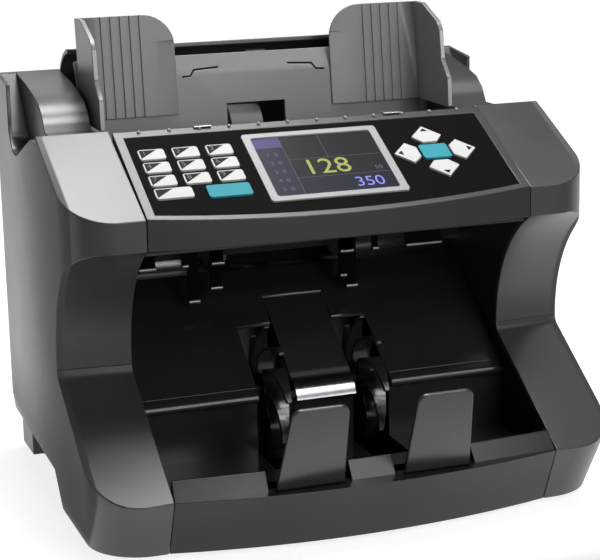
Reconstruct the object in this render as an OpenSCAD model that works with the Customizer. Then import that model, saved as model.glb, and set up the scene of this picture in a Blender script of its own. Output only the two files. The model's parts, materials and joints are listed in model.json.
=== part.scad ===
// Banknote counting machine: hopper on top, key panel in front of it, stacker pocket below the panel.
// Millimetres. X runs to the machine's right as seen from the front, Y to the back, Z up.
// Modules are drawn with y = 0 at the panel's front lip beside the side covers and z = 0 under the body.
// place() then moves them so that the origin is under the middle of the whole machine, on the table.

/* [Body] */
// Width over both side covers
body_w = 275; // [272:1:280]
// Clear width between the two side covers
seam_w = 200; // [199:0.5:201]
// Depth from the panel's front lip to the rearmost point
body_back = 200; // [198:1:206]
// Wall of the moulded covers
wall = 2.6; // [2:0.1:2.8]
// Corner radius of the side covers at the front
front_r = 24; // [20:1:26]
// Corner radius of the side covers at the back
rear_r = 14; // [12:1:28]
// How much each side cover narrows towards the back
side_taper = 3; // [1:0.5:4]
// Angle by which the front of the side columns sweeps back
sweep = 6; // [3:0.5:7]
// Radius of the rear face seen from the side
rear_face_r = 330; // [300:5:400]
// Height of the rubber feet
feet_h = 3; // [2:0.5:5]

/* [Front face] */
// Height of the lip's top edge beside the side covers
lip_top = 160.4; // [159:0.2:162]
// Height of the lip's lower edge
lip_low = 145; // [144:0.5:147]
// How far the lip bows forward in the middle
lip_bow = 7; // [4:0.5:9]
// Height of the foot's top edge
foot_top = 30.5; // [28:0.5:31]
// How far the foot's top edge stands in front of the lip
foot_out = 31; // [29:0.5:32]
// How far the foot's front leans back towards the table
foot_lean = 13.7; // [10:0.5:15]
// How far the base bows forward in the middle
foot_bow = 12; // [9:0.5:13]

/* [Panel] */
// Tilt of the key panel
panel_tilt = 27.8; // [27:0.1:28.5]
// Half width of the black membrane
membrane_u = 95; // [94:0.1:95.5]
// Length of the membrane up the slope
membrane_v = 65; // [64:0.5:65.5]
// Width of a small key
key_w = 13.4; // [12:0.2:14]
// Height of a small key
key_h = 8.2; // [7:0.2:8.6]
// How far the keys stand above the membrane
key_proud = 0.9; // [0.7:0.1:1.4]
// Outer width of the display frame
bezel_w = 72.6; // [70:0.2:74]
// Outer height of the display frame
bezel_h = 55.3; // [54:0.2:56]
// Width of the display frame's border
bezel_rim = 4.4; // [3.5:0.1:5]

/* [Hopper] */
// Lean of the hopper's back wall and the note guides
hopper_lean = 6.2; // [5.5:0.1:6.6]
// Half width of the kicker roller's window
window_u = 16.7; // [16.2:0.1:18]
// Height of a note guide
guide_h = 54.6; // [50:0.2:58]
// Inner edge of a note guide at its outermost position
guide_in = 44.5; // [42:0.5:46]
// Outer face of a note guide
guide_out = 98.5; // [97.5:0.1:98.8]
// Thickness of a note guide's plate
guide_t = 1.9; // [1.5:0.1:1.9]
// Pitch of the grooves in the guides
groove_pitch = 5.3; // [4.8:0.1:5.6]

/* [Stacker] */
// Tip radius of the stacker wheels
wheel_r = 33.5; // [31:0.5:34]
// Width of a stacker wheel
wheel_w = 10; // [8:0.5:12]
// Distance of each stacker wheel from the middle
wheel_x = 26.5; // [26:0.1:27]
// Vanes on each stacker wheel
vanes = 8; // [6:1:10]
// Length of the stop plates along their slope
stop_h = 46.2; // [42:0.2:48]
// Forward lean of the stop plates
stop_lean = 18.9; // [16:0.1:20]

/* [Drive] */
// Radius of the feed tyres
feed_r = 17; // [16.6:0.1:17]
// Radius of the kicker tyre
kicker_r = 14; // [13.6:0.1:14.1]
// Radius of the motor's pulley
motor_pulley_r = 9; // [8:0.5:9]
// Radius of the feed shaft's pulley that the motor turns
feed_pulley_r = 14; // [13:0.5:14]
// Radius of the two pulleys between feed shaft and kicker shaft
kicker_pulley_r = 10; // [9:0.5:10]
// Radius of the feed shaft's pulley for the stacker
feed_small_r = 8; // [7:0.5:8]
// Radius of the stacker shaft's pulley
stacker_pulley_r = 13; // [12:0.5:13]

/* [Hidden] */
keypad = [for (r = [0:2]) for (c = [0:2])
    [str("digit_key_", 3 * r + c + 1), -84.8 + 17.35 * c, 49.6 - 10.7 * r, key_w, key_h]];
wide_keys = [["clear_key", -81.9, 18, 19.1, 8], ["start_key", -54.3, 16.9, 22.2, 9.6]];
flat_keys = concat(keypad, wide_keys);
arrow_keys = [["arrow_up_key", 0, 13], ["arrow_right_key", -90, 14.2],
    ["arrow_down_key", 180, 13], ["arrow_left_key", 90, 14.2]];
pad = [61, 34.6];
screen_at = [0, 32.45];
centre_key_size = [15.4, 11.5];

$fn = 48;
half_w = body_w / 2;
seam = seam_w / 2;
gap = 0.15;
bay = seam - gap;
lip_r = (seam * seam + lip_bow * lip_bow) / (2 * lip_bow);
foot_r = (seam * seam + foot_bow * foot_bow) / (2 * foot_bow);
stop_front = foot_out + 2 + stop_h * sin(stop_lean) + 1.25 * cos(stop_lean);
mid_y = (body_back - stop_front) / 2;
plate_in = 102.5;
plate_out = 104.5;
feed_at = [107, 128];
kick_at = [147, 178];
stack_at = [47, 57];
motor_at = [150, 62];
rail_at = [148.9, 200];
hinge_at = [188, 56];
knob_at = [6.5, 155];
rocker_at = [187, 25];
board_w = -7.4;
panel_z = lip_top + 0.2;
membrane_front = 3.7 - lip_bow / cos(panel_tilt);

function arc(c, r, a0, a1, n) =
    [for (i = [0:n]) c + r * [cos(a0 + (a1 - a0) * i / n), sin(a0 + (a1 - a0) * i / n)]];
function unit(v) = v / norm(v);
function left(v) = [-v[1], v[0]];
function miter(a, b) = let (m = left(unit(a)), n = left(unit(b))) (m + n) / (1 + m * n);
// Closed outline moved inward by t
function inset(p, t) = let (n = len(p))
    [for (i = [0:n - 1]) p[i] + t * miter(p[i] - p[(i + n - 1) % n], p[(i + 1) % n] - p[i])];
// Sheet of thickness t on the left of an open path
function ribbon(p, t) = let (n = len(p)) concat(p, [for (i = [n - 1:-1:0])
    p[i] + t * miter(i > 0 ? p[i] - p[i - 1] : p[1] - p[0], i < n - 1 ? p[i + 1] - p[i] : p[i] - p[i - 1])]);
function rounded(w, h, r) = concat(arc([w / 2 - r, -h / 2 + r], r, -90, 0, 5),
    arc([w / 2 - r, h / 2 - r], r, 0, 90, 5), arc([-w / 2 + r, h / 2 - r], r, 90, 180, 5),
    arc([-w / 2 + r, -h / 2 + r], r, 180, 270, 5));
// Belt line around two circles
function loop(c1, r1, c2, r2) = let (d = c2 - c1, b = atan2(d[1], d[0]), e = acos((r1 - r2) / norm(d)))
    concat(arc(c1, r1, b + e, b + 360 - e, 24), arc(c2, r2, b - e, b + e, 24));

module place() translate([0, -mid_y, feet_h]) children();
// Draws a (y, z) outline from x0 to x1
module along_x(x0, x1) translate([x0, 0, 0]) rotate([90, 0, 90]) linear_extrude(x1 - x0) children();
module rod(at, r, x0, x1) translate([x0, at[0], at[1]]) rotate([0, 90, 0]) cylinder(r = r, h = x1 - x0);
module ring(at, r, bore, x0, x1) difference() {
    rod(at, r, x0, x1);
    rod(at, bore, x0 - 1, x1 + 1);
}
// Panel frame: u across, v up the slope, w out of the membrane
module on_panel() translate([0, 0, panel_z]) rotate([panel_tilt, 0, 0]) children();
module both() {
    children();
    mirror([1, 0, 0]) children();
}

// Side covers

// Plan outline of a side cover, t inside its surface
function plan(xin, fy, r, hw, t) = concat([[xin, fy + t]], arc([hw - r, fy + r], r - t, -90, 0, 16),
    [[hw - t, 60]], arc([hw - side_taper - rear_r, body_back - rear_r], rear_r - t, 0, 90, 12),
    [[xin, body_back - t]]);
function rear_angle(z) = asin((z - 100) / rear_face_r);
// Side view of a cover: arch between the feet, rear arc, shoulder, groove and wing
function side_view(open) = concat([[-95, open ? -6 : -1]], open ? [] : [[65, -1], [70, 20]],
    arc([body_back - rear_face_r, 100], rear_face_r, rear_angle(open ? -6 : 20), rear_angle(206), 12),
    [[body_back - 17.8, 210.6], [body_back - 20, 213], [body_back - 24, 213.8], [150, 210.3],
    [130, 206.3], [117.5, 202.8], [110, 197.4], [104.8, 189.5], [68.4, 189.5], [68, lip_top + 33.3], [-95, lip_top - 46.55]]);
// Open space in front of the columns, from the ramp over the crease and up the cove to the lip
pocket_front = concat([[-95, foot_top - 0.66 * (95 - foot_out)]], arc([33.6, 80.3], 6, -56.6, -2, 6),
    arc([-30.3, lip_low - 63], 69.9, -1.56, 64.3, 22), [[-95, lip_low]]);

module body_block(xin, t, open) {
    intersection() {
        union() {
            translate([0, 0, 80]) linear_extrude(140) polygon(plan(xin, 0, front_r, half_w, t));
            translate([0, 0, foot_top - 0.01]) linear_extrude(60)
                polygon(plan(xin, -foot_out, front_r + 2, half_w, t));
            hull() {
                translate([0, 0, foot_top - 0.01]) linear_extrude(0.01)
                    polygon(plan(xin, -foot_out, front_r + 2, half_w, t));
                translate([0, 0, open ? -1 : 0]) linear_extrude(0.01)
                    polygon(plan(xin, -foot_out + foot_lean, front_r + 4, half_w - 3.5, t));
            }
        }
        along_x(80, 160) polygon(inset(side_view(open), t));
    }
}
module column_space(t) translate([seam, 0, 0]) rotate([0, 0, sweep]) translate([-seam, 0, 0])
    along_x(70, 170) polygon(inset(pocket_front, -t));
// Recess for lifting the machine: its back wall slopes away towards the top, behind a rim at the side
module grip_scoop(t) intersection() {
    linear_extrude(300)
        polygon(inset([[125, 40], [160, 40], [160, 149], [133.2, 149], [133.2, 180], [125, 180]], -t));
    along_x(100, 190) polygon(inset([[70, 196.5], [82, 190.5], [109, 181.5], [124, 176.2], [132, 174.8],
        [139, 175.6], [143.5, 178.4], [147, 183], [173.5, 213.5], [176, 260], [60, 260]], -t));
}
module side_cover() difference() {
    body_block(seam + gap, 0, false);
    column_space(0);
    grip_scoop(0);
    difference() {
        body_block(90, wall, true);
        column_space(wall);
        grip_scoop(wall);
    }
}
module right_side_cover() place() color("gray") side_cover();
module left_side_cover() place() color("gray") mirror([1, 0, 0]) side_cover();

// Base

module base_plate() place() color("dimgray") difference() {
    union() {
        translate([-106, -8, 0]) cube([212, 196, 3]);
        both() translate([90, 158, 0]) cube([40, 28, 3]);
        both() translate([105.5, 158, 0]) cube([24.5, 28, 19.6]);
        translate([-99, 187, 0]) cube([198, 2.5, 43]);
        translate([-102, 90, 2.5]) cube([204, 1.5, 83.5]);
    }
    translate([29.8, 180, 14.3]) cube([54.4, 20, 21.4]);
}
module rubber_feet() place() color("black") both() {
    translate([92, 14, -feet_h]) cylinder(r = 8, h = feet_h);
    translate([117, 172, -feet_h]) cylinder(r = 8, h = feet_h);
}
module base_front() place() color("dimgray") {
    difference() {
        union() {
            intersection() {
                translate([0, foot_r - foot_out - foot_bow, 0]) rotate_extrude($fn = 480) polygon([
                    [foot_r - foot_lean, 0], [foot_r, foot_top], [foot_r - 26, foot_top],
                    [foot_r - 26, foot_top - 2.5], [foot_r - 4.5, foot_top - 2.5],
                    [foot_r - foot_lean - 3.2, 0]]);
                union() {
                    translate([-bay, -80, -1]) cube([2 * bay, 60, 60]);
                    translate([-bay, -80, -1]) cube([2 * bay, 68, 20]);
                }
            }
            both() translate([54, -foot_out - 2, 0]) rotate([0, 0, 4.5]) tray_rim(0, 46);
            tray_rim_middle();
        }
        translate([bay, -90, -1]) cube([20, 90, 60]);
        mirror([1, 0, 0]) translate([bay, -90, -1]) cube([20, 90, 60]);
        stop_screws(1.55);
    }
}
module tray_rim(x0, x1) along_x(x0, x1) polygon([[0, foot_top - 0.2], [6, foot_top + 8.3],
    [7.4, foot_top + 8.3], [9.4, foot_top - 0.2]]);
module tray_rim_middle() translate([0, -foot_out - 2, 0]) tray_rim(-11.5, 11.5);

// Stop plates

module stop_plate() translate([0, -foot_out - 2, foot_top]) difference() {
    union() {
        rotate([stop_lean, 0, 0]) translate([0, 1.25, 0]) rotate([90, 0, 0]) linear_extrude(2.5)
            polygon(concat([[15.4, -2], [51, -2]], arc([41.5, stop_h - 5], 5, 6, 90, 6),
            arc([22.5, stop_h - 5], 5, 90, 177, 6)));
        translate([20, -0.5, 0]) cube([26, 11.5, 2]);
    }
    translate([0, -30, -10]) cube([80, 60, 10]);
    for (x = [26, 40]) translate([x, 7, -1]) cylinder(r = 1.6, h = 10);
}
module right_stop_plate() place() color("black") stop_plate();
module left_stop_plate() place() color("black") mirror([1, 0, 0]) stop_plate();
module stop_screws(r) both() for (x = [26, 40]) translate([x, 5 - foot_out, foot_top - 9])
    cylinder(r = r, h = 11.5);
module cover_screws() place() color("silver") {
    difference() {
        stop_screws(1.5);
        translate([-60, -60, foot_top + 2.01]) cube([120, 60, 20]);
    }
    both() for (x = [26, 40]) translate([x, 5 - foot_out, foot_top + 2]) cylinder(r = 3, h = 1.6);
}

// Panel

// Front edge of the membrane, bowed like the lip, with v0 in its middle
function bowed(hu, v0) = let (r = lip_r * cos(panel_tilt), e = asin(hu / r))
    arc([0, v0 + r], r, -90 - e, -90 + e, 16);
function panel_outline(hu, v0, v1) = concat(bowed(hu, v0), [[hu, v1], [-hu, v1]]);
function lip_line(t, h) = let (e = asin(h / (lip_r - t)))
    arc([0, lip_r - lip_bow], lip_r - t, -90 - e, -90 + e, 16);
module below_panel(w) along_x(-120, 120) polygon([[-30, 100], [80, 100],
    [80, panel_z + 80 * tan(panel_tilt) + w / cos(panel_tilt)],
    [-30, panel_z - 30 * tan(panel_tilt) + w / cos(panel_tilt)]]);

function arrow(g) = [[0, 8.3 + 1.4 * g], [-8.3 - 1.4 * g, 0], [-3.9 - 0.6 * g, -5.2 - g],
    [3.9 + 0.6 * g, -5.2 - g], [8.3 + 1.4 * g, 0]];
module arrow_shape(k, g) translate(pad) rotate(k[1]) translate([0, k[2]]) polygon(arrow(g));
module flat_shape(k, g) translate([k[1], k[2]]) polygon(rounded(k[3] + 2 * g, k[4] + 2 * g, 1.5 + g));
module centre_shape(g) translate(pad)
    polygon(rounded(centre_key_size[0] + 2 * g, centre_key_size[1] + 2 * g, 1.5 + g));
module key_holes(g) {
    for (k = flat_keys) flat_shape(k, g);
    for (k = arrow_keys) arrow_shape(k, g);
    centre_shape(g);
}
module screen_hole(g) translate(screen_at)
    polygon(rounded(bezel_w - 2 * bezel_rim + 2 * g, bezel_h - 2 * bezel_rim + 1.3 + 2 * g, 1.5));

module control_fascia() place() color("dimgray") difference() {
    intersection() {
        translate([0, 0, lip_low]) linear_extrude(80)
            polygon(concat(lip_line(0, bay), [[bay, 62], [-bay, 62]]));
        below_panel(0.25);
    }
    intersection() {
        translate([0, 0, lip_low - 1]) linear_extrude(80)
            polygon(concat(lip_line(wall, bay - wall), [[bay - wall, 62 - wall], [wall - bay, 62 - wall]]));
        below_panel(-3);
    }
    on_panel() {
        translate([0, 0, -0.6]) linear_extrude(4)
            polygon(panel_outline(membrane_u + 0.1, membrane_front - 0.1, membrane_v + 0.1));
        translate([0, 0, -6]) linear_extrude(8) {
            key_holes(0.35);
            screen_hole(0.1);
        }
    }
}
module panel_overlay() place() color("black") on_panel() translate([0, 0, -0.6]) linear_extrude(0.6)
    difference() {
        polygon(panel_outline(membrane_u, membrane_front, membrane_v));
        key_holes(0.35);
        translate(screen_at) square([bezel_w + 0.1, bezel_h + 0.1], center = true);
    }
module display_bezel() place() color("lightgray") on_panel() translate([0, 0, -0.6]) linear_extrude(1.5)
    difference() {
        translate(screen_at) polygon(rounded(bezel_w, bezel_h, 2));
        screen_hole(0.1);
    }
module display_screen() place() color("navy") on_panel() {
    translate([0, 0, -3.1]) linear_extrude(3.2) screen_hole(0);
    translate([-34, screen_at[1] - 27, -6.6]) cube([68, 54, 3.55]);
}
module panel_board() place() color("darkgreen") on_panel() {
    translate([-92, 6.4, board_w - 1.6]) cube([184, 55, 1.6]);
    for (k = flat_keys) translate([k[1], k[2], board_w - 0.1]) cylinder(r = 2.4, h = 2.1);
    for (k = arrow_keys) translate([pad[0] - k[2] * sin(k[1]), pad[1] + k[2] * cos(k[1]), board_w - 0.1])
        cylinder(r = 2.4, h = 2.1);
    translate([pad[0], pad[1], board_w - 0.1]) cylinder(r = 2.4, h = 2.1);
}
// Key cap through the panel, with a wider foot behind it that keeps the cap in its hole
module key_cap() {
    translate([0, 0, -3.5]) linear_extrude(3.5 + key_proud) children(0);
    translate([0, 0, -4.5]) linear_extrude(1.1) children(1);
}
module flat_key(k) place() color("white") on_panel() key_cap() {
    flat_shape(k, 0);
    flat_shape(k, 0.8);
}
module arrow_key(k) place() color("white") on_panel() key_cap() {
    arrow_shape(k, 0);
    intersection() {
        arrow_shape(k, 0.8);
        translate(pad) rotate(k[1]) translate([-15, k[2] - 4.2]) square([30, 20]);
    }
}
module centre_key() place() color("teal") on_panel() key_cap() {
    centre_shape(0);
    union() {
        centre_shape(-0.4);
        translate(pad) for (s = [-1, 1]) translate([-8.4, s * 5.6 - 1]) square([16.8, 2]);
    }
}

// Stacker pocket

sheet_path = concat(arc(feed_at, 20.4, -20, -112, 14), [[36, 60.4], [36, 26.5], [-19.6, 26.5]]);
module wheel_slots() both() {
    translate([16.6, 8, 20]) cube([19.4, 61.5, 80]);
    translate([-1, 20, 53.2]) cube([17.7, 64, 50]);
}
module stacker_backplate() place() color("black") difference() {
    along_x(-plate_in, plate_in) union() {
        polygon(ribbon(sheet_path, 2));
        polygon([[37, 61.2], [33, 58.5], [31.8, 56.3], [32.4, 54.4], [34.5, 53.5], [37, 53.5]]);
    }
    wheel_slots();
}
module centre_chute() place() color("silver") along_x(-16.4, 16.4) polygon(ribbon([[82.6, 95.85], [41, 64.3],
    [37.6, 61.9], [35.3, 60.1], [33.2, 57.4], [31.2, 53.2], [32.4, 52], [35.9, 52]], 1.2));
module note_path_cover() place() color("black") along_x(-99.6, 99.6)
    polygon(ribbon([[6, 143.4], [62, 141.6], [84, 133.4], [88.2, 121]], -1.6));

// Hopper

function hopper_y(z) = 135.6 + (z - 190) * tan(hopper_lean);
module hopper_plate() place() color("dimgray") {
    difference() {
        along_x(-plate_in, plate_in) polygon(ribbon([[143, 221], [hopper_y(210), 210], [hopper_y(164), 164],
            [129, 160.4], [63, 173]], 2));
        translate([-94, 120, 150]) cube([188, 11.2, 30]);
        translate([-window_u, 120, 150]) cube([2 * window_u, 30, 44]);
        both() {
            translate([seam - 0.6, 120, 190]) cube([10, 40, 40]);
            translate([0, 160, 0]) rotate([90, 0, 0]) linear_extrude(40)
                polygon(ribbon([[41, 210], [36.5, 210.4], [34.3, 213.4], [20, 214.2]], 0.9));
        }
    }
    difference() {
        translate([knob_at[0] - 6.5, hopper_y(205) + 1, 204.6]) cube([13, 22, 2.4]);
        translate([knob_at[0], knob_at[1], 200]) cylinder(r = 2.06, h = 10);
    }
}
module guide_rail() place() color("silver") rod(rail_at, 3, -plate_out, plate_out);
module note_guide() difference() {
    union() {
        translate([0, 133.4, 190]) rotate([-hopper_lean, 0, 0]) {
            difference() {
                translate([0, guide_t, 0]) rotate([90, 0, 0]) linear_extrude(guide_t) polygon(concat(
                    [[guide_in, 0], [guide_out, 0], [guide_out, guide_h]],
                    arc([guide_in + 18, guide_h - 18], 18, 90, 180, 10)));
                for (i = [0:4]) translate([63.8 + groove_pitch * i, -1, 0]) cube([1, 1.8, 80]);
                linear_extrude(80, center = true)
                    polygon([[guide_in + 11, -0.01], [guide_in - 1, 1.2], [guide_in - 1, -0.01]]);
            }
        }
        along_x(guide_out - 2.6, guide_out) polygon([[135.2, 190], [92, 190], [93, 206], [101.5, 215],
            [103.8, 231], [107.5, 235.6], [128, 189.9 + guide_h * cos(hopper_lean)],
            [140.7, 189.9 + guide_h * cos(hopper_lean)]]);
        along_x(54, 94) polygon([[139, 224.2], [146.4, 224.2], [146.4, 203], [151.4, 203],
            [151.4, 229.5], [139.6, 229.5]]);
        rod(rail_at, 5.5, 54, 96);
    }
    rod(rail_at, 3.06, 50, 100);
}
module right_note_guide() place() color("dimgray") note_guide();
module left_note_guide() place() color("dimgray") mirror([1, 0, 0]) note_guide();
module gap_knob() place() color("black") {
    translate([knob_at[0], knob_at[1], 163.8]) cylinder(r = 2, h = 50);
    difference() {
        translate([knob_at[0], knob_at[1], 212]) cylinder(r = 6, h = 8.5);
        for (a = [0:30:330]) translate([knob_at[0], knob_at[1], 211]) rotate(a) translate([6.3, 0, 0])
            cylinder(r = 0.9, h = 12, $fn = 16);
    }
}

// Chassis and drive

module chassis(x0) difference() {
    intersection() {
        along_x(plate_in, plate_out) polygon(inset(side_view(true), wall + 0.9));
        translate([90, -8, 3]) cube([40, 200, 220]);
    }
    translate([90, -20, 100]) cube([40, 23.6, 100]);
    column_space(wall + 0.9);
    rod(feed_at, 6.51, 90, 120);
    rod(kick_at, 5.51, 90, 120);
    rod(stack_at, 5.51, 90, 120);
    rod(rail_at, 3.01, 90, 120);
    rod(hinge_at, 2.01, 90, 120);
    if (x0 < 0) rod(motor_at, 7, 90, 120);
    for (at = [[95, 60], [150, 130]]) rod(at, 14, 90, 120);
}
module right_chassis() place() color("black") chassis(1);
module left_chassis() place() color("black") mirror([1, 0, 0]) chassis(-1);
module bush(at, r) {
    ring(at, r + 2.5, r + 0.05, plate_in - 0.6, plate_out);
    ring(at, r + 3.5, r + 0.05, plate_in - 1.2, plate_in);
}
module shaft_bearings() place() color("goldenrod") both() {
    bush(feed_at, 4);
    bush(kick_at, 3);
    bush(stack_at, 3);
}
// Pulley with a flange on each side of its belt
module pulley(at, r, bore, x) difference() {
    union() {
        rod(at, r, x - 2.5, x + 2.5);
        rod(at, r + 2, x - 3.4, x - 2.4);
        rod(at, r + 2, x + 2.4, x + 3.4);
    }
    rod(at, bore, x - 5, x + 5);
}
belt_1 = -109.5;
belt_2 = -116.2;
belt_3 = -122.9;
module feed_shaft() place() color("silver") rod(feed_at, 4, -127.5, 105.8);
module feed_tyres() place() color("gray") both() ring(feed_at, feed_r, 4.01, 32.6, 40.3);
module feed_pulley() place() color("dimgray") {
    pulley(feed_at, feed_pulley_r, 4.01, belt_1);
    pulley(feed_at, kicker_pulley_r, 4.01, belt_2);
    pulley(feed_at, feed_small_r, 4.01, belt_3);
}
module kicker_shaft() place() color("silver") rod(kick_at, 3, -120.4, 105.8);
module kicker_tyre() place() color("gray") ring(kick_at, kicker_r, 3.01, -15, 3.5);
module kicker_pulley() place() color("dimgray") pulley(kick_at, kicker_pulley_r, 3.01, belt_2);
module stacker_shaft() place() color("silver") rod(stack_at, 3, -127.5, 105.8);
module stacker_pulley() place() color("dimgray") pulley(stack_at, stacker_pulley_r, 3.01, belt_3);
// Curved vanes that narrow to a rounded point at their tips
module stacker_wheel() intersection() {
    linear_extrude(wheel_w, center = true) difference() {
        union() {
            circle(r = 9);
            for (i = [0:vanes - 1]) rotate(i * 360 / vanes + 7.5) polygon(ribbon(
                [for (s = [0:10]) (7 + (wheel_r - 7) * s / 10) * [cos(8 * s), sin(8 * s)]], 1.7));
        }
        circle(r = 3.01);
    }
    rotate_extrude() polygon([[0, -wheel_w / 2], [wheel_r / 2, -wheel_w / 2], [wheel_r + 1, -1],
        [wheel_r + 1, 1], [wheel_r / 2, wheel_w / 2], [0, wheel_w / 2]]);
}
module stacker_wheels() place() color("dimgray") both()
    translate([wheel_x, stack_at[0], stack_at[1]]) rotate([90, 0, 90]) stacker_wheel();
module drive_motor() place() color("silver") {
    difference() {
        union() {
            rod(motor_at, 21, -98, -42);
            rod(motor_at, 6.8, -plate_out, -97);
        }
        rod(motor_at, 2.55, -120, -80);
    }
    for (a = [45, 225]) rod(motor_at + 15 * [cos(a), sin(a)], 2.5, -plate_in, -97.5);
}
module motor_pulley() place() color("dimgray") {
    pulley(motor_at, motor_pulley_r, 2, belt_1);
    rod(motor_at, 2.5, belt_1 - 4, -81);
}
module belt(at1, r1, at2, r2, x) difference() {
    along_x(x - 2, x + 2) polygon(loop(at1, r1 + 1.6, at2, r2 + 1.6));
    along_x(x - 3, x + 3) polygon(loop(at1, r1 + 0.35, at2, r2 + 0.35));
}
module drive_belts() place() color("black") {
    belt(motor_at, motor_pulley_r, feed_at, feed_pulley_r, belt_1);
    belt(feed_at, kicker_pulley_r, kick_at, kicker_pulley_r, belt_2);
    belt(feed_at, feed_small_r, stack_at, stacker_pulley_r, belt_3);
}
// Block that lets one note at a time pass over the feed tyres, with an arm back to the knob's screw
module retard_block() place() color("sienna") {
    translate([0, feed_at[0], feed_at[1]]) rotate([45, 0, 0]) translate([-42, feed_r + 0.4, -7])
        cube([84, 5.6, 14]);
    along_x(2.5, 10.5) polygon([[123.5, 139.5], [128, 139], [150, 153], [158.5, 156], [158.5, 162],
        [147, 162], [120, 145]]);
}
module note_sensors() place() color("darkgreen") both() translate([62, 75, 90.6]) rotate([37.25, 0, 0])
    translate([-7, -6, -9]) cube([14, 12, 6.6]);

// Electrics

module main_board() place() color("darkgreen") {
    translate([108, 96, 70]) cube([1.6, 72, 84]);
    for (y = [100, 164]) for (z = [74, 150]) rod([y, z], 2.5, plate_out, 108.1);
    translate([109.5, 110, 90]) cube([3, 22, 22]);
    translate([109.5, 140, 120]) cube([9, 22, 10]);
    for (y = [108, 122, 136]) rod([y, 136], 4, 109.5, 121);
}
module power_supply() place() color("silver") {
    translate([20, 95, 3]) cube([65, 55, 2]);
    translate([24, 100, 4.9]) cube([28, 34, 30]);
    for (i = [0:4]) translate([58 + 5 * i, 100, 4.9]) cube([2, 44, 26]);
}
module power_inlet() place() color("black") difference() {
    union() {
        translate([24, 189.5, 12]) cube([66, 2, 26]);
        translate([56, 170, 14.5]) cube([28, 19.6, 21]);
        translate([30, 172, 14.5]) cube([16, 19.6, 21]);
    }
    difference() {
        translate([58, 175, 16.8]) cube([24, 30, 16.4]);
        for (x = [63, 70, 77]) translate([x - 1, 174, 22 + (x == 70 ? 3 : 0)]) cube([2, 14, 5]);
    }
    translate([31.4, 178, 15.4]) cube([13.2, 30, 19.2]);
    rod(rocker_at, 1.25, 30.6, 45.4);
}
module power_switch() place() color("black") {
    translate([32, rocker_at[0], rocker_at[1]]) rotate([8, 0, 0]) rotate([90, 0, 90]) linear_extrude(12)
        polygon([[-5, -6.6], [3.2, -8.4], [2.2, 0], [3.2, 8.4], [-5, 6.6]]);
    rod(rocker_at, 1.2, 30.8, 45.2);
}

// Rear cover

module rear_cover() place() color("gray") difference() {
    union() {
        along_x(-99.6, 99.6) polygon(ribbon(concat(
            arc([body_back - rear_face_r, 100], rear_face_r, rear_angle(50), rear_angle(205), 12),
            [[body_back - 19.6, 211.5], [body_back - 24, 217.5], [body_back - 31, 223],
            [body_back - 38, 225.8], [body_back - 43, 226.4]]), wall));
        both() along_x(86, 98)
            polygon([[188, 51.5], [body_back - 4.5, 50.4], [body_back - 4.5, 63], [188, 60.5]]);
        both() rod(hinge_at, 4.5, 86, 98);
    }
    rod(hinge_at, 2.06, -120, 120);
}
module hinge_pins() place() color("silver") both() rod(hinge_at, 2, 85, plate_out);

base_plate();
rubber_feet();
left_side_cover();
right_side_cover();
control_fascia();
panel_overlay();
display_bezel();
display_screen();
panel_board();
base_front();
left_stop_plate();
right_stop_plate();
stacker_backplate();
centre_chute();
note_path_cover();
hopper_plate();
guide_rail();
left_chassis();
right_chassis();
shaft_bearings();
main_board();
power_supply();
power_inlet();
drive_motor();
drive_belts();
note_sensors();
cover_screws();
hinge_pins();
left_note_guide();
right_note_guide();
kicker_shaft();
kicker_tyre();
kicker_pulley();
feed_shaft();
feed_tyres();
feed_pulley();
stacker_shaft();
stacker_wheels();
stacker_pulley();
motor_pulley();
retard_block();
gap_knob();
rear_cover();
power_switch();
for (k = flat_keys) flat_key(k);
for (k = arrow_keys) arrow_key(k);
centre_key();
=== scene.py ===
import json
import math
import bmesh
import bpy
from mathutils import Matrix, Vector


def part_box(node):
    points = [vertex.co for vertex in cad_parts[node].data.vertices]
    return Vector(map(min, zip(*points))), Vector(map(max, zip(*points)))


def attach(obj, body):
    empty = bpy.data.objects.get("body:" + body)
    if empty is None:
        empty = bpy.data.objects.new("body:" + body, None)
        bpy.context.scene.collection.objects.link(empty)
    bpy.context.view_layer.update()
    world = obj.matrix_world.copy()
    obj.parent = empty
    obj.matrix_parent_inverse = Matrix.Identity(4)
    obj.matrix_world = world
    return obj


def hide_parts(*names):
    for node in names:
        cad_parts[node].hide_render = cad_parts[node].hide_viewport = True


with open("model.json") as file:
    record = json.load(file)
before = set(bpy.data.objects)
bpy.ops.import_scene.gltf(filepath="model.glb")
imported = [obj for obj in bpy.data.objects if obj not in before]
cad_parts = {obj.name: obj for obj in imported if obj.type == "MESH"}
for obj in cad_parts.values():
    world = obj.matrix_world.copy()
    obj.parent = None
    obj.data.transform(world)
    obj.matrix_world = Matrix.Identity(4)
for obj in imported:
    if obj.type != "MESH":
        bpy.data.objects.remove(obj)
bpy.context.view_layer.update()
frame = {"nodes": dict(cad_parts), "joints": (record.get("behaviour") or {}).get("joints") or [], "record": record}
nodes = frame["nodes"]
record = frame["record"]
bodyOf = {node: body for body, group in record["behaviour"]["bodies"].items() for node in group}
slotOf = {part["node"]: part["material_slot"] for part in record["subparts"]}
mm = 0.001
print("frame loaded:", len(nodes), "nodes")

# The key panel's own frame: u across, v up the slope, w out of the membrane
pressAxis = next(j["axis"] for j in frame["joints"] if j["name"] == "centre_key_press")
panelTilt = math.atan2(pressAxis[1], -pressAxis[2])
membraneLength = 65 * mm
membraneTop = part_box("panel_overlay")[1]
panelFrame = Matrix.Translation((0, membraneTop.y - membraneLength * math.cos(panelTilt),
                                 membraneTop.z - membraneLength * math.sin(panelTilt)))
panelFrame = panelFrame @ Matrix.Rotation(panelTilt, 4, "X")


# Camera, with its yaw, pitch and roll in degrees
viewpoint = {
    "lens": 110.24, "clipEnd": 100, "place": (-0.31402, -0.89752, 0.33121),
    "turn": (-19.405, 76.837, -1.257)}


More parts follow.
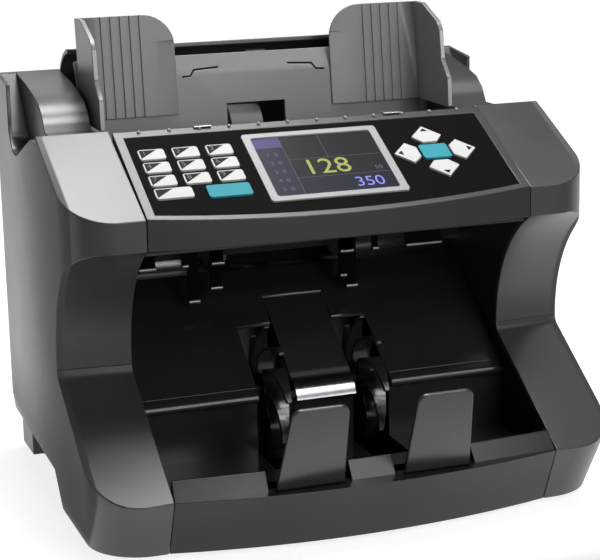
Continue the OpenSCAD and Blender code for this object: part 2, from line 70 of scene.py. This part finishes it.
def addCamera():
    camera = bpy.data.objects.new("camera", bpy.data.cameras.new("camera"))
    camera.data.lens = viewpoint["lens"]
    camera.data.clip_end = viewpoint["clipEnd"]
    yaw, pitch, roll = (math.radians(angle) for angle in viewpoint["turn"])
    camera.matrix_world = (Matrix.Translation(viewpoint["place"]) @ Matrix.Rotation(yaw, 4, "Z")
                           @ Matrix.Rotation(pitch, 4, "X") @ Matrix.Rotation(roll, 4, "Z"))
    bpy.context.scene.collection.objects.link(camera)
    bpy.context.scene.camera = camera


addCamera()
print("camera set")


# Shader arithmetic
class Wire:  # a shader socket that takes part in sums
    def __init__(self, tree, socket=None):
        self.tree = tree
        self.socket = socket

    def node(self, kind, settings=None, inputs=None, out=0):
        made = self.tree.nodes.new("ShaderNode" + kind)
        for name, value in (settings or {}).items():
            setattr(made, name, value)
        for name, value in (inputs or {}).items():
            if isinstance(value, Wire):
                self.tree.links.new(value.socket, made.inputs[name])
            else:
                made.inputs[name].default_value = value
        return Wire(self.tree, made.outputs[out])

    def sum(self, operation, first, second):
        return self.node("Math", {"operation": operation}, {0: first, 1: second})

    def __add__(self, other):
        return self.sum("ADD", self, other)

    def __radd__(self, other):
        return self.sum("ADD", other, self)

    def __sub__(self, other):
        return self.sum("SUBTRACT", self, other)

    def __rsub__(self, other):
        return self.sum("SUBTRACT", other, self)

    def __mul__(self, other):
        return self.sum("MULTIPLY", self, other)

    def __rmul__(self, other):
        return self.sum("MULTIPLY", other, self)

    def __gt__(self, other):
        return self.sum("GREATER_THAN", self, other)

    def __lt__(self, other):
        return self.sum("LESS_THAN", self, other)

    def __abs__(self):
        return self.node("Math", {"operation": "ABSOLUTE"}, {0: self})

    def between(self, low, high):
        return (self > low) * (self < high)

    def ramp(self, start, end):
        return self.node("MapRange", {"interpolation_type": "SMOOTHSTEP"}, {0: self, 1: start, 2: end})

    def blend(self, first, second):  # self is the share of the second colour
        return self.node("Mix", {"data_type": "RGBA"}, {0: self, 6: first, 7: second}, 2)

    def axes(self):
        split = self.node("SeparateXYZ", None, {0: self}).socket.node
        return [Wire(self.tree, output) for output in split.outputs]

    def noise(self, scale, detail):
        return self.node("TexNoise", None, {"Vector": self, "Scale": scale, "Detail": detail})

    def streaks(self, stretch):
        return self.node("Mapping", None, {"Vector": self, "Scale": stretch}).noise(1, 3)


def startFinish(name, fixed):  # the material, its shader, and the place on the piece
    material = bpy.data.materials.new(name)
    material.use_nodes = True
    shader = material.node_tree.nodes["Principled BSDF"]
    for socket, value in fixed.items():
        shader.inputs[socket].default_value = value
    return material, shader, Wire(material.node_tree).node("TexCoord", out="Object")


def feed(shader, inputs):
    for socket, value in inputs.items():
        value.tree.links.new(value.socket, shader.inputs[socket])


def grey(level, tint=(1, 1, 1)):
    return (level * tint[0], level * tint[1], level * tint[2], 1)


# Moulded or painted surface: slow clouds of tone and gloss under a fine grain
mouldedLook = {
    "tint": (1, 1, 1.02), "metallic": 0, "specular": 0.5, "coat": 0, "coatRoughness": 0.2,
    "cloud": (22, 3), "grain": (2600, 2), "cloudShare": 0.7, "grainShare": 0.3, "spread": 0.06,
    "glossSpread": 0.1, "grainGloss": 0.06, "bump": 0.1, "bumpDepth": 0.00012}


def mouldedFinish(name, own):
    look = {**mouldedLook, **own}
    material, shader, place = startFinish(name, {
        "Metallic": look["metallic"], "Specular IOR Level": look["specular"],
        "Coat Weight": look["coat"], "Coat Roughness": look["coatRoughness"]})
    cloud = place.noise(*look["cloud"])
    grain = place.noise(*look["grain"])
    dark, light = (grey(look["level"] * (1 + side * look["spread"]), look["tint"]) for side in (-1, 1))
    tone = (cloud * look["cloudShare"] + grain * look["grainShare"]).blend(dark, light)
    rough = look["roughness"] + (cloud - 0.5) * look["glossSpread"] + (grain - 0.5) * look["grainGloss"]
    if "flank" in look:  # coarser texture on the outer sides, most of all at the front and low down
        flank = look["flank"]
        across, depth, height = place.axes()
        coarse = depth.ramp(*flank["depth"]) * flank["extra"]
        coarse = coarse + height.ramp(*flank["low"]) * flank["extraLow"]
        rough = rough + abs(across).ramp(*flank["across"]) * coarse
    bump = place.node("Bump", None, {
        "Strength": look["bump"], "Distance": look["bumpDepth"], "Height": grain})
    feed(shader, {"Base Color": tone, "Roughness": rough, "Normal": bump})
    return material


# Drawn or rolled metal: streaks along one axis
brushedLook = {
    "stretch": (12, 900, 900), "cloud": (30, 2), "dark": 0.86, "light": 1.1,
    "streakGloss": 0.12, "cloudGloss": 0.08, "bump": 0.06, "bumpDepth": 0.00005}


def brushedFinish(name, level, roughness):
    look = brushedLook
    material, shader, place = startFinish(name, {"Metallic": 1})
    streak = place.streaks(look["stretch"])
    cloud = place.noise(*look["cloud"])
    tone = streak.blend(grey(level * look["dark"]), grey(level * look["light"]))
    rough = roughness + (streak - 0.5) * look["streakGloss"] + (cloud - 0.5) * look["cloudGloss"]
    bump = place.node("Bump", None, {
        "Strength": look["bump"], "Distance": look["bumpDepth"], "Height": streak})
    feed(shader, {"Base Color": tone, "Roughness": rough, "Normal": bump})
    return material


# Glass over a lit panel: blue side column and header, ruled lines and a dark field
screenLook = {
    "column": -17.5, "header": 47.9, "rows": (37.0, 22.0), "split": 3.5, "line": 0.28,  # mm on the panel
    "field": (0.020, 0.020, 0.023, 1), "columnTone": (0.030, 0.026, 0.052, 1),
    "headerTone": (0.095, 0.082, 0.22, 1), "stripTone": (0.020, 0.020, 0.038, 1),
    "ruleTone": (0.12, 0.12, 0.15, 1), "glow": 1.0, "specular": 0.03,
    "dust": (900, 2), "dustTone": (0.006, 0.014), "smear": (60, 3), "roughness": 0.12, "smearGloss": 0.14}


def screenFinish():
    look = screenLook
    material, shader, place = startFinish("screenGlass", {
        "Specular IOR Level": look["specular"], "Emission Strength": look["glow"]})
    local = place.node("Mapping", {"vector_type": "TEXTURE"}, {
        "Vector": place, "Location": panelFrame.translation, "Rotation": (panelTilt, 0, 0),
        "Scale": (mm, mm, mm)})
    u, v = local.axes()[:2]
    leftColumn = u < look["column"]
    header = leftColumn * (v > look["header"])
    strip = (1 - leftColumn) * (v < look["rows"][1])
    rules = u.between(look["column"], look["column"] + look["line"])
    for row in look["rows"]:
        rules = rules + (1 - leftColumn) * v.between(row, row + look["line"])
    rules = rules + u.between(look["split"], look["split"] + look["line"]) * (v > look["rows"][0])
    glow = leftColumn.blend(look["field"], look["columnTone"])
    glow = strip.blend(glow, look["stripTone"])
    glow = header.blend(glow, look["headerTone"])
    glow = rules.blend(glow, look["ruleTone"])
    dust = place.noise(*look["dust"])
    dark, light = (grey(level) for level in look["dustTone"])
    rough = look["roughness"] + place.noise(*look["smear"]) * look["smearGloss"]
    feed(shader, {"Emission Color": glow, "Base Color": dust.blend(dark, light), "Roughness": rough})
    return material


# Printed ink or lit segments: a flat tone with a fine speckle
inkLook = {"speckle": (4000, 2), "dark": 0.82, "roughness": 0.45, "glossSpread": 0.2, "specular": 0.04}


def inkFinish(name, tone, glow=0.0):
    look = inkLook
    material, shader, place = startFinish(name, {
        "Emission Strength": glow, "Specular IOR Level": look["specular"]})
    speckle = place.noise(*look["speckle"])
    shade = speckle.blend(grey(look["dark"], tone), grey(1, tone))
    rough = look["roughness"] + (speckle - 0.5) * look["glossSpread"]
    feed(shader, {"Base Color": shade, "Roughness": rough})
    if glow:
        feed(shader, {"Emission Color": shade})
    return material


# Chute: polished along its bend; above the bend its colour is painted near-black as painted shade, and made rough
# and not metallic there
chuteLook = {
    "level": 0.36, "tint": (0.93, 0.94, 1), "dark": 0.9, "light": 1.05, "stretch": (700, 14, 14),
    "roughness": 0.15, "streakGloss": 0.06, "bendTop": (0.0655, 0.069), "upper": 0.02, "upperGloss": 0.25,
    "specular": 0.3}


def chuteFinish():
    look = chuteLook
    material, shader, place = startFinish("chuteSteel", {"Specular IOR Level": look["specular"]})
    streak = place.streaks(look["stretch"])
    # painted shade: share of the chute above the bend, where the colour is painted near-black
    upper = place.axes()[2].ramp(*look["bendTop"])
    dark, light = (grey(look["level"] * look[side], look["tint"]) for side in ("dark", "light"))
    rough = look["roughness"] + (streak - 0.5) * look["streakGloss"] + upper * look["upperGloss"]
    tone = upper.blend(streak.blend(dark, light), grey(look["upper"]))
    feed(shader, {"Base Color": tone, "Roughness": rough, "Metallic": 1 - upper})
    return material


slotLooks = {
    "body_grey": ("satinGrey", {
        "level": 0.037, "roughness": 0.33, "specular": 0.6,
        "flank": {"across": (0.1335, 0.1348), "depth": (0.08, -0.06), "extra": 0.4,
                  "low": (0.07, 0.02), "extraLow": 0.15}}),  # places in m
    "dark_grey": ("satinDark", {"level": 0.016, "roughness": 0.36, "specular": 0.54}),
    "mid_grey": ("satinMid", {"level": 0.145, "roughness": 0.36, "specular": 0.7}),
    "charcoal": ("charcoal", {"level": 0.03, "roughness": 0.28, "specular": 0.85}),
    "black_plastic": ("blackPlastic", {"level": 0.024, "roughness": 0.34, "specular": 0.4}),
    "black_steel": ("powderCoat", {"level": 0.014, "roughness": 0.5, "bump": 0.2}),
    "rubber_black": ("blackRubber", {"level": 0.016, "roughness": 0.75, "bump": 0.2}),
    "rubber_grey": ("greyRubber", {"level": 0.13, "roughness": 0.7, "bump": 0.2, "tint": (1, 1, 0.93)}),
    "membrane": ("membraneFilm", {"level": 0.004, "roughness": 0.6, "specular": 0.015, "bump": 0.05}),
    "bezel_grey": ("bezelGrey", {"level": 0.28, "roughness": 0.4, "specular": 0.3, "spread": 0.03}),
    "white_key": ("whiteKey", {
        "level": 0.48, "roughness": 0.5, "specular": 0.2, "spread": 0.02, "tint": (1, 1, 0.985)}),
    "teal_key": ("tealKey", {
        "level": 0.3, "roughness": 0.55, "specular": 0.1, "spread": 0.03, "tint": (0.1, 0.82, 1)}),
    "board": ("solderMask", {"level": 0.12, "roughness": 0.4, "tint": (0.12, 1, 0.35)}),
    "bronze": ("sinteredBronze", {"level": 0.5, "roughness": 0.4, "metallic": 1, "tint": (1, 0.68, 0.3)})}
pieceLooks = {
    "stacker_backplate": ("blackSatin", {
        "level": 0.018, "roughness": 0.22, "specular": 0.6, "bump": 0.04, "glossSpread": 0.05}),
    "stacker_wheels": ("vaneGloss", {"level": 0.02, "roughness": 0.2, "specular": 0.9, "coat": 0.5}),
    # painted shade: a darker copy of the grey, its colour lowered to stand in for the shade on the base's front
    # faces
    "base_front": ("satinBaseShaded", {"level": 0.01, "roughness": 0.24, "specular": 0.42})}
finishes = {slot: mouldedFinish(*look) for slot, look in slotLooks.items()}
finishes["steel"] = brushedFinish("drawnSteel", level=0.62, roughness=0.2)
finishes["screen"] = screenFinish()
ownFinish = {node: mouldedFinish(*look) for node, look in pieceLooks.items()}
ownFinish["centre_chute"] = chuteFinish()
# painted shade: near-black with almost no reflection, for hangers that stand in for the shade behind the idler
# axles
shadeBlack = mouldedFinish("shadeBlack", {"level": 0.004, "roughness": 0.8, "specular": 0.03})
dimSteel = brushedFinish("dimSteel", level=0.3, roughness=0.34)
inkDark = inkFinish("darkInk", (0.008, 0.008, 0.009))
inkPale = inkFinish("paleInk", (0.16, 0.16, 0.165))
inkWhite = inkFinish("whiteInk", (0.6, 0.6, 0.6))
litGreen = inkFinish("litGreen", (0.21, 0.215, 0.06), glow=0.85)
litBlue = inkFinish("litBlue", (0.14, 0.14, 0.42), glow=0.9)
litDim = inkFinish("litDim", (0.075, 0.072, 0.12), glow=0.9)
print("finishes made:", len(bpy.data.materials))


def finishOf(node):
    return ownFinish.get(node, finishes[slotOf[node]])


for name, node in nodes.items():
    for holder in node.material_slots:
        holder.material = finishOf(name)


# Pieces
shadingLook = {"sharp": 40, "normalWeight": 80}  # degrees where shading breaks, pull of the larger faces


def newPiece(name, bm, body, finish, replaced=(), sharp=shadingLook["sharp"]):
    mesh = bpy.data.meshes.new(name)
    bm.to_mesh(mesh)
    bm.free()
    mesh.materials.append(finish)
    mesh.shade_smooth()
    mesh.set_sharp_from_angle(angle=math.radians(sharp))
    piece = bpy.data.objects.new(name, mesh)
    bpy.context.scene.collection.objects.link(piece)
    weighted = piece.modifiers.new("evenShading", "WEIGHTED_NORMAL")
    weighted.keep_sharp = True
    weighted.weight = shadingLook["normalWeight"]
    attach(piece, body)
    if replaced:
        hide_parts(*replaced)


# Edge radii of the moulded and pressed parts, in mm
edgeRadius = {
    "left_side_cover": 0.5, "right_side_cover": 0.5, "rear_cover": 0.6, "control_fascia": 0.4,
    "base_front": 0.4, "left_stop_plate": 0.9, "right_stop_plate": 0.9, "left_note_guide": 0.4,
    "right_note_guide": 0.4, "hopper_plate": 0.3, "display_bezel": 0.4, "stacker_backplate": 0.9,
    "centre_chute": 0.3, "note_path_cover": 0.3, "stacker_wheels": 0.35, "base_plate": 0.5,
    "rubber_feet": 0.6, "power_inlet": 0.35, "power_switch": 0.5, "gap_knob": 0.4, "kicker_tyre": 0.6,
    "feed_tyres": 0.5, "retard_block": 0.4, "cover_screws": 0.3, "panel_overlay": 0.08}
keyRadius = 0.3
keys = [node for node in nodes if node.endswith("_key") or node.startswith("digit_key")]
edgeRadius.update({node: keyRadius for node in keys})
edgeLook = {"segments": 3, "corner": 32, "flat": 0.4, "merge": 3e-6}  # angles in degrees, merge in m
sharpAngle = {"base_front": 22}  # keeps its rims flat


def softened(node, radius):
    bm = bmesh.new()
    bm.from_mesh(nodes[node].data)
    bmesh.ops.remove_doubles(bm, verts=bm.verts, dist=edgeLook["merge"])
    bmesh.ops.dissolve_limit(bm, angle_limit=math.radians(edgeLook["flat"]), verts=bm.verts,
                             edges=bm.edges)
    corners = [e for e in bm.edges if len(e.link_faces) == 2 and e.is_convex
               and e.calc_face_angle() > math.radians(edgeLook["corner"])]
    bmesh.ops.bevel(bm, geom=corners, offset=radius * mm, offset_type="OFFSET",
                    segments=edgeLook["segments"], profile=0.5, affect="EDGES", material=-1,
                    clamp_overlap=False)
    newPiece(node + "_shaped", bm, bodyOf[node], finishOf(node), (node,),
             sharpAngle.get(node, shadingLook["sharp"]))


for node, radius in edgeRadius.items():
    softened(node, radius)
print("edges rounded on", len(edgeRadius), "pieces")


# Prints on the keys
inkDepth = 0.03 * mm


def flatShape(points, thickness, base):
    bm = bmesh.new()
    face = bm.faces.new([bm.verts.new((u, v, base)) for u, v in points])
    made = bmesh.ops.extrude_face_region(bm, geom=[face])
    raised = [part for part in made["geom"] if isinstance(part, bmesh.types.BMVert)]
    bmesh.ops.translate(bm, vec=(0, 0, thickness), verts=raised)
    bmesh.ops.recalc_face_normals(bm, faces=bm.faces)
    return bm


def digitShape(text, size, place, base):
    curve = bpy.data.curves.new(text, "FONT")
    curve.body = text
    curve.size = size
    curve.extrude = inkDepth / 2
    curve.align_x = "CENTER"
    curve.align_y = "CENTER"
    holder = bpy.data.objects.new(text, curve)
    bpy.context.scene.collection.objects.link(holder)
    mesh = holder.to_mesh(depsgraph=bpy.context.evaluated_depsgraph_get())
    bm = bmesh.new()
    bm.from_mesh(mesh)
    bpy.data.objects.remove(holder)
    bmesh.ops.translate(bm, vec=(place[0], place[1], base + inkDepth / 2), verts=bm.verts)
    return bm


keyPrint = {
    "capDepth": 0.1, "margin": 0.8, "reach": 0.72, "widest": 13.4, "digit": 4.6, "digitAt": (3.0, 3.1),
    "arrow": (2.1, 2.6), "arrowIn": 2.0}  # mm, apart from reach, a share of the cap's width
arrowTurns = {"arrow_up_key": 0, "arrow_left_key": 90, "arrow_down_key": 180, "arrow_right_key": -90}


def capBox(node):  # outline box of a key's cap in the panel's frame
    inward = panelFrame.inverted()
    local = [inward @ v.co for v in nodes[node].data.vertices]
    top = max(p.z for p in local)
    cap = [p for p in local if p.z > top - keyPrint["capDepth"] * mm]
    across = [p.x for p in cap]
    along = [p.y for p in cap]
    return min(across), max(across), min(along), max(along), top


def printPiece(name, bm, node, finish):
    bmesh.ops.transform(bm, matrix=panelFrame, verts=bm.verts)
    newPiece(name, bm, bodyOf[node], finish)


def printFlatKey(node, digit=None):
    left, right, low, high, top = capBox(node)
    margin = keyPrint["margin"] * mm
    reach = left + keyPrint["reach"] * min(right - left, keyPrint["widest"] * mm)
    corner = [(left + margin, low + margin), (reach, high - margin), (left + margin, high - margin)]
    printPiece(node + "_corner", flatShape(corner, inkDepth, top), node, inkDark)
    if digit:
        inset, drop = (size * mm for size in keyPrint["digitAt"])
        shape = digitShape(digit, keyPrint["digit"] * mm, (left + inset, high - drop), top + inkDepth)
        printPiece(node + "_digit", shape, node, inkPale)


def printArrowKey(node, turn):
    left, right, low, high, top = capBox(node)
    half, length = (size * mm for size in keyPrint["arrow"])
    middle = Vector(((left + right) / 2, (low + high) / 2))
    tip = (high - low if turn in (0, 180) else right - left) / 2 - keyPrint["arrowIn"] * mm
    across = Matrix.Rotation(math.radians(turn), 2)
    corners = [(-half, tip - length), (half, tip - length), (0, tip)]
    points = [tuple(middle + across @ Vector(corner)) for corner in corners]
    printPiece(node + "_mark", flatShape(points, inkDepth, top), node, inkDark)


for number in range(1, 10):
    printFlatKey(f"digit_key_{number}", str(number))
printFlatKey("clear_key")
for node, turn in arrowTurns.items():
    printArrowKey(node, turn)
print("keys printed")


# Digits on the display, over the glass: text, height and place in mm
displayDigits = {
    "count": ("128", 17.0, (0.4, 29.4), litGreen), "total": ("350", 10.5, (18.5, 15.0), litBlue),
    "batch": ("50", 4.2, (27.0, 25.8), litDim)}
displayRows = {"names": "ABCDE", "size": 4.0, "across": -24.6, "top": 41.9, "pitch": 7.0}
for i, letter in enumerate(displayRows["names"]):
    rowPlace = (displayRows["across"], displayRows["top"] - displayRows["pitch"] * i)
    displayDigits["row" + letter] = (f"{i + 1}  0", displayRows["size"], rowPlace, litDim)


def addDisplay():
    top = max((panelFrame.inverted() @ v.co).z for v in nodes["display_screen"].data.vertices)
    for name, (text, size, place, finish) in displayDigits.items():
        bm = digitShape(text, size * mm, (place[0] * mm, place[1] * mm), top)
        bmesh.ops.transform(bm, matrix=panelFrame, verts=bm.verts)
        newPiece("display_" + name, bm, "frame", finish)


addDisplay()
print("display lit")


# Small trim that isn't in the construction
def addBox(bm, low, high, radius=0.0):
    made = bmesh.ops.create_cube(bm, size=1)
    size = [b - a for a, b in zip(low, high)]
    middle = [(a + b) / 2 for a, b in zip(low, high)]
    bmesh.ops.scale(bm, vec=size, verts=made["verts"])
    bmesh.ops.translate(bm, vec=middle, verts=made["verts"])
    if radius:
        edges = list({e for v in made["verts"] for e in v.link_edges})
        bmesh.ops.bevel(bm, geom=edges, offset=radius, segments=2, profile=0.5, affect="EDGES",
                        material=-1)


def addRod(bm, middle, radius, length):
    turn = Matrix.Rotation(math.pi / 2, 4, "Y")
    bmesh.ops.create_cone(bm, cap_ends=True, segments=28, radius1=radius, radius2=radius, depth=length,
                          matrix=Matrix.Translation(middle) @ turn)


# Locating pins and two spring tabs along the panel's back edge, in mm
backEdgeLook = {
    "first": -86.6, "pitch": 15.75, "count": 12, "pin": 1.0, "pinIn": (1.3, 0.5),
    "tabs": (-53.3, 49.5), "tab": (9.2, 4.4, 0.7), "tabIn": (1.6, 0.1), "tabEdge": 0.2}


def addBackEdge():
    look = backEdgeLook
    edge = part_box("control_fascia")[1]
    bm = bmesh.new()
    inset, drop = (size * mm for size in look["pinIn"])
    for i in range(look["count"]):
        place = Vector(((look["first"] + look["pitch"] * i) * mm, edge.y - inset, edge.z - drop))
        bmesh.ops.create_uvsphere(bm, u_segments=16, v_segments=10, radius=look["pin"] * mm,
                                  matrix=Matrix.Translation(place))
    newPiece("panel_pins", bm, "frame", finishes["bezel_grey"])
    bm = bmesh.new()
    wide, deep, thick = (size * mm for size in look["tab"])
    inset, drop = (size * mm for size in look["tabIn"])
    for x in look["tabs"]:
        corner = Vector((x * mm - wide / 2, edge.y - inset, edge.z - drop))
        addBox(bm, corner, corner + Vector((wide, deep, thick)), look["tabEdge"] * mm)
    newPiece("spring_tabs", bm, "frame", finishes["steel"])


addBackEdge()

# Steel axles of the small idlers under the note path cover, each on its hanger, the hangers near-black as painted
# shade: from, to and row, in mm
idlerLook = {
    "depth": -3.4, "radius": 1.2, "rows": (-23.4, -36.5, -42.6), "top": -8.5, "hanger": (0.9, 2.1),
    "below": 1.5, "spans": (
        (-86.5, -77.5, 0), (-63.5, -60.3, 0), (-47.6, -40.8, 0), (23.9, 31.3, 0), (42.5, 45.9, 0),
        (61.9, 82.5, 0), (-48.3, -42.3, 1), (-60.4, -54.5, 2), (23.6, 27.1, 1), (27.0, 33.3, 2))}


def addIdlers():
    look = idlerLook
    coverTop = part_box("note_path_cover")[1].z
    y = look["depth"] * mm
    near, far = (y + size * mm for size in look["hanger"])
    axles = bmesh.new()
    hangers = bmesh.new()
    for a, b, row in look["spans"]:
        z = coverTop + look["rows"][row] * mm
        addRod(axles, ((a + b) / 2 * mm, y, z), look["radius"] * mm, (b - a) * mm)
        addBox(hangers, (a * mm, near, z - look["below"] * mm), (b * mm, far, coverTop + look["top"] * mm))
    newPiece("idler_axles", axles, "frame", dimSteel)
    newPiece("idler_hangers", hangers, "frame", shadeBlack)


addIdlers()

# Pale strips on the front edges of the note guides: ends of their lines as depth and height in mm
stripLook = {"width": 2.0, "thick": 0.5, "across": 97.2,
             "lines": (((26.1, 218.6), (28.3, 233.4)), ((16.65, 193.6), (17.55, 208.4)))}


def addGuideStrips():
    look = stripLook
    for side, name in ((-1, "left"), (1, "right")):
        bm = bmesh.new()
        for (y0, z0), (y1, z1) in look["lines"]:
            strip = bmesh.ops.create_cube(bm, size=1)["verts"]
            size = (look["width"] * mm, look["thick"] * mm, math.hypot(y1 - y0, z1 - z0) * mm)
            lean = Matrix.Rotation(math.atan2(y0 - y1, z1 - z0), 3, "X")
            middle = (side * look["across"] * mm, (y0 + y1) / 2 * mm, (z0 + z1) / 2 * mm)
            bmesh.ops.scale(bm, vec=size, verts=strip)
            bmesh.ops.rotate(bm, matrix=lean, verts=strip)
            bmesh.ops.translate(bm, vec=middle, verts=strip)
        newPiece(name + "_guide_strips", bm, name + "_guide", finishes["white_key"])


addGuideStrips()

# Screws in the back of the side covers, their cross slots dark boxes as painted shade in the recesses: places as
# depth and height, in mm
screwLook = {
    "across": 111, "places": ((119.1, 43), (120.8, 153)), "head": 3.0, "taper": 0.78, "height": 1.3,
    "slot": (3.6, 0.7), "slotDepth": 0.3, "slotProud": 0.03}


def addRearScrews():
    look = screwLook
    heads = bmesh.new()
    slotShade = bmesh.new()
    long, thin = (size / 2 * mm for size in look["slot"])
    for side in (-1, 1):
        for y, z in look["places"]:
            x = side * look["across"] * mm
            turn = Matrix.Translation((x, y * mm, z * mm)) @ Matrix.Rotation(-math.pi / 2, 4, "X")
            bmesh.ops.create_cone(heads, cap_ends=True, segments=32, radius1=look["head"] * mm,
                                  radius2=look["head"] * look["taper"] * mm, depth=look["height"] * mm,
                                  matrix=turn)
            face = (y + look["height"] / 2) * mm
            bottom = face - look["slotDepth"] * mm
            top = face + look["slotProud"] * mm
            # painted shade: each cross slot is a dark box standing in for the shade in the recess
            for wide, high in ((long, thin), (thin, long)):
                addBox(slotShade, (x - wide, bottom, z * mm - high), (x + wide, top, z * mm + high))
    newPiece("rear_screws", heads, "frame", finishes["steel"])
    newPiece("rear_screw_slot_shade", slotShade, "frame", inkDark)


addRearScrews()

# Marks on the mains switch, a bar above and a ring below: depth and height in mm, lean in degrees
switchLook = {
    "upper": (113.66, 32.94, 1.2), "lower": (114.93, 23.83, 14.8), "across": 38, "bar": (0.35, 1.7),
    "ring": (1.7, 1.25), "ringSteps": 32, "ink": 0.04, "merge": 0.001}


def addSwitchMarks():
    look = switchLook

    def seat(y, z, lean):
        place = Matrix.Translation((look["across"] * mm, y * mm, z * mm))
        return place @ Matrix.Rotation(-math.radians(90 - lean), 4, "X")

    wide, high = (size * mm for size in look["bar"])
    ink = look["ink"] * mm
    marks = flatShape([(-wide, -high), (wide, -high), (wide, high), (-wide, high)], ink, 0)
    bar = set(marks.verts)
    bmesh.ops.transform(marks, matrix=seat(*look["upper"]), verts=marks.verts)
    outer, inner = (size * mm for size in look["ring"])
    edge = [marks.verts.new((r, 0, h)) for r, h in ((inner, 0), (outer, 0), (outer, ink), (inner, ink))]
    loop = [marks.edges.new((edge[i], edge[(i + 1) % 4])) for i in range(4)]
    bmesh.ops.spin(marks, geom=edge + loop, cent=(0, 0, 0), axis=(0, 0, 1), angle=2 * math.pi,
                   steps=look["ringSteps"], use_merge=True)
    ring = [v for v in marks.verts if v not in bar]
    bmesh.ops.transform(marks, matrix=seat(*look["lower"]), verts=ring)
    bmesh.ops.remove_doubles(marks, verts=marks.verts, dist=look["merge"] * mm)
    bmesh.ops.recalc_face_normals(marks, faces=marks.faces)
    newPiece("switch_marks", marks, "rocker", inkWhite)


addSwitchMarks()
print("trim added")


# Floor that glows, least just in front of the machine: places along the depth, in m
floorLook = {
    "size": 14.0, "level": 0.45, "spread": 0.01, "cloud": (5, 3), "roughness": 0.66, "glossSpread": 0.08,
    "glow": 0.84, "edge": (-0.2, -0.125), "front": (-0.6, -2.0), "far": (0.1, 1.0), "farGain": 1.22}


def floorFinish():
    look = floorLook
    material, shader, place = startFinish("paleFloor", {"Emission Strength": look["glow"]})
    cloud = place.noise(*look["cloud"])
    depth = place.axes()[1]
    dark, light = (grey(look["level"] * (1 + side * look["spread"])) for side in (-1, 1))
    lit = depth.ramp(*look["edge"]) + depth.ramp(*look["front"])
    bright = depth.ramp(*look["far"]).blend(grey(1), grey(look["farGain"]))
    feed(shader, {"Base Color": cloud.blend(dark, light), "Emission Color": lit.blend(grey(0), bright),
                  "Roughness": look["roughness"] + cloud * look["glossSpread"]})
    return material


def addFloor():
    bm = bmesh.new()
    bmesh.ops.create_grid(bm, x_segments=1, y_segments=1, size=floorLook["size"] / 2)
    mesh = bpy.data.meshes.new("floor")
    bm.to_mesh(mesh)
    bm.free()
    mesh.materials.append(floorFinish())
    floor = bpy.data.objects.new("floor", mesh)
    bpy.context.scene.collection.objects.link(floor)


# Lights, all turned to one point, and the air: a pale band low down, in sines of the elevation
lightAim = Vector((0, 0, 0.12))
lights = {
    "overheadLeft": {"place": (-0.05, 0.15, 0.85), "size": (0.24, 0.28), "power": 3.4},
    "overheadFront": {"place": (0.15, -0.1, 0.85), "size": (0.24, 0.28), "power": 2.7},
    "overheadMiddle": {"place": (0.12, 0.15, 0.85), "size": (0.24, 0.32), "power": 1.0},
    "overheadRear": {"place": (0.15, 0.4, 0.85), "size": (0.24, 0.28), "power": 1.3},
    "overheadRight": {"place": (0.35, 0.02, 0.85), "size": (0.24, 0.5), "power": 0.8},
    "frontSoft": {"place": (0.25, -1.35, 0.42), "size": (0.45, 0.24), "power": 2.4},
    "edgeStrip": {"place": (0.43, -1.2, 0.72), "size": (0.9, 0.14), "power": 2.0},
    "rimStrip": {"place": (0.34, -0.8, 0.85), "size": (0.7, 0.25), "power": 2.8},
    "rearSoft": {"place": (0.12, 1.1, 0.85), "size": (0.6, 0.45), "power": 1.2}}
airLook = {"horizon": 0.75, "zenith": 0.006, "rise": (0.03, 0.17)}


def addLights():
    for name, look in lights.items():
        lamp = bpy.data.lights.new(name, "AREA")
        lamp.shape = "RECTANGLE"
        lamp.size, lamp.size_y = look["size"]
        lamp.energy = look["power"]
        holder = bpy.data.objects.new(name, lamp)
        holder.location = look["place"]
        holder.rotation_euler = (lightAim - holder.location).to_track_quat("-Z", "Y").to_euler()
        bpy.context.scene.collection.objects.link(holder)


def addAir():
    world = bpy.data.worlds.new("air")
    world.use_nodes = True
    height = Wire(world.node_tree).node("TexCoord", out="Generated").axes()[2]
    tone = height.ramp(*airLook["rise"]).blend(grey(airLook["horizon"]), grey(airLook["zenith"]))
    feed(world.node_tree.nodes["Background"], {"Color": tone})
    bpy.context.scene.world = world


addFloor()
addLights()
addAir()
bpy.context.scene.view_settings.view_transform = "Standard"
print("floor and lights set")
